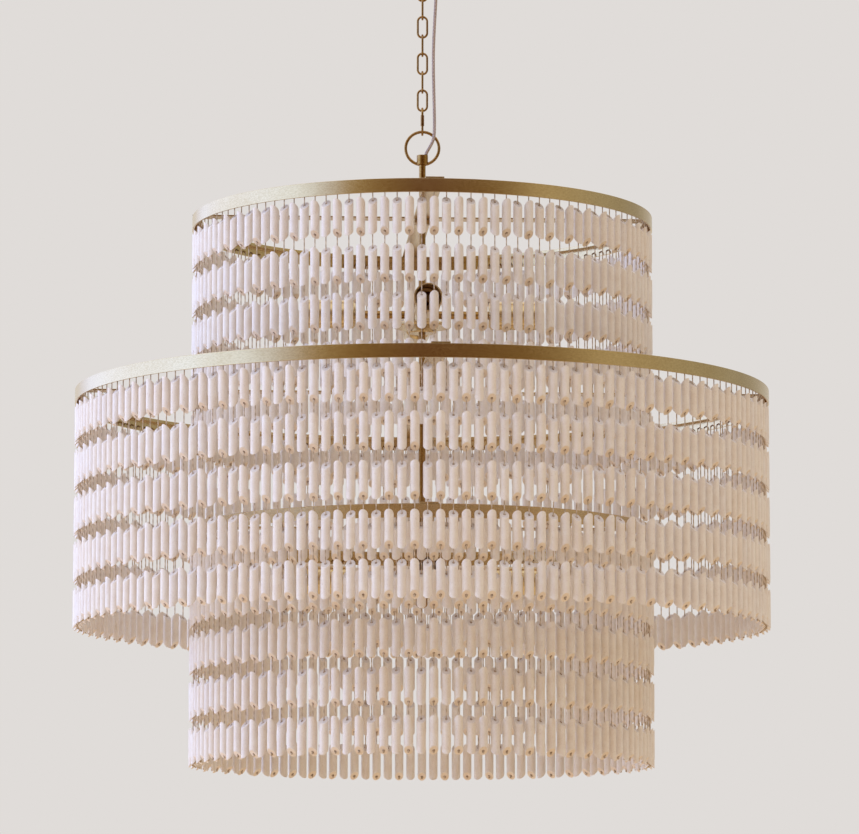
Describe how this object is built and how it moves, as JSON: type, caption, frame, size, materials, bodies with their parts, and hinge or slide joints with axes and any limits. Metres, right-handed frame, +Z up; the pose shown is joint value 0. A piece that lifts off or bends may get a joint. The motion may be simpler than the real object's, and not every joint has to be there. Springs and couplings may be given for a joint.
{
  "type": "beaded chandelier",
  "caption": "Chandelier of bead curtains hung from three flat metal rings on one stem, with lamp sockets inside, on a chain under a ceiling canopy.",
  "frame": {"origin": "middle of the ceiling plate's flat top face, against the ceiling", "axes": "+Z up along the stem, +X to the right and -Y towards a viewer who sees the pictured side"},
  "size_m": [1.0668, 1.0668, 1.2892],
  "materials": {
    "brass": "satin",
    "beads": "satin",
    "cord": "matte",
    "bush": "matte"
  },
  "bodies": {
    "ceiling_fitting": {"ceiling_plate": "brass", "canopy": "brass", "canopy_collar": "brass", "canopy_loop": "brass", "canopy_bush": "bush", "supply_cord_1": "cord"},
    "link_1": {"chain_link_1": "brass"},
    "link_2": {"chain_link_2": "brass", "supply_cord_2": "cord"},
    "link_3": {"chain_link_3": "brass"},
    "link_4": {"chain_link_4": "brass", "supply_cord_3": "cord"},
    "link_5": {"chain_link_5": "brass"},
    "link_6": {"chain_link_6": "brass", "supply_cord_4": "cord"},
    "link_7": {"chain_link_7": "brass"},
    "quick": {"quick_link": "brass", "supply_cord_5": "cord"},
    "sleeve": {"quick_link_sleeve": "brass"},
    "hanger": {"hanging_ring": "brass", "supply_cord_6": "cord"},
    "light": {"stem": "brass", "stem_cap": "brass", "stem_cap_bush": "bush", "stem_finial": "brass", "upper_ring": "brass", "upper_spokes": "brass", "upper_hub_nut": "brass", "middle_ring": "brass", "middle_spokes": "brass", "middle_hub_nut": "brass", "lower_ring": "brass", "lower_spokes": "brass", "lower_hub_nut": "brass", "upper_bead_row_1": "beads", "upper_bead_row_2": "beads", "upper_bead_row_3": "beads", "upper_bead_row_4": "beads", "upper_bead_row_5": "beads", "middle_bead_row_1": "beads", "middle_bead_row_2": "beads", "middle_bead_row_3": "beads", "middle_bead_row_4": "beads", "middle_bead_row_5": "beads", "lower_bead_row_1": "beads", "lower_bead_row_2": "beads", "lower_bead_row_3": "beads", "lower_bead_row_4": "beads", "lower_bead_row_5": "beads", "upper_lamp_hub": "brass", "upper_socket_1": "brass", "upper_socket_2": "brass", "upper_socket_3": "brass", "upper_socket_4": "brass", "lower_lamp_hub": "brass", "lower_socket_1": "brass", "lower_socket_2": "brass", "lower_socket_3": "brass", "lower_socket_4": "brass"}
  },
  "joints": [
    {"name": "link_1_swing", "type": "hinge", "parent": "ceiling_fitting", "child": "link_1", "pos_m": [0, 0, -0.0661], "axis": [0, 1, 0], "range_deg": [-5, 5]},
    {"name": "link_2_swing", "type": "hinge", "parent": "link_1", "child": "link_2", "pos_m": [0, 0, -0.0944], "axis": [1, 0, 0], "range_deg": [-5, 5]},
    {"name": "link_3_swing", "type": "hinge", "parent": "link_2", "child": "link_3", "pos_m": [0, 0, -0.1235], "axis": [0, 1, 0], "range_deg": [-5, 5]},
    {"name": "link_4_swing", "type": "hinge", "parent": "link_3", "child": "link_4", "pos_m": [0, 0, -0.1526], "axis": [1, 0, 0], "range_deg": [-5, 5]},
    {"name": "link_5_swing", "type": "hinge", "parent": "link_4", "child": "link_5", "pos_m": [0, 0, -0.1817], "axis": [0, 1, 0], "range_deg": [-5, 5]},
    {"name": "link_6_swing", "type": "hinge", "parent": "link_5", "child": "link_6", "pos_m": [0, 0, -0.2108], "axis": [1, 0, 0], "range_deg": [-5, 5]},
    {"name": "link_7_swing", "type": "hinge", "parent": "link_6", "child": "link_7", "pos_m": [0, 0, -0.2399], "axis": [0, 1, 0], "range_deg": [-5, 5]},
    {"name": "quick_link_swing", "type": "hinge", "parent": "link_7", "child": "quick", "pos_m": [0, 0, -0.269], "axis": [1, 0, 0], "range_deg": [-5, 5]},
    {"name": "sleeve_turn", "type": "hinge", "parent": "quick", "child": "sleeve", "pos_m": [0, -0.0082, -0.2859], "axis": [0, 0, 1], "range_deg": [-180, 180]},
    {"name": "hanging_ring_swing", "type": "hinge", "parent": "quick", "child": "hanger", "pos_m": [0, 0, -0.3066], "axis": [0, 1, 0], "range_deg": [-5, 5]},
    {"name": "stem_swing", "type": "hinge", "parent": "hanger", "child": "light", "pos_m": [0, 0, -0.354], "axis": [1, 0, 0], "range_deg": [-5, 5]}
  ]
}
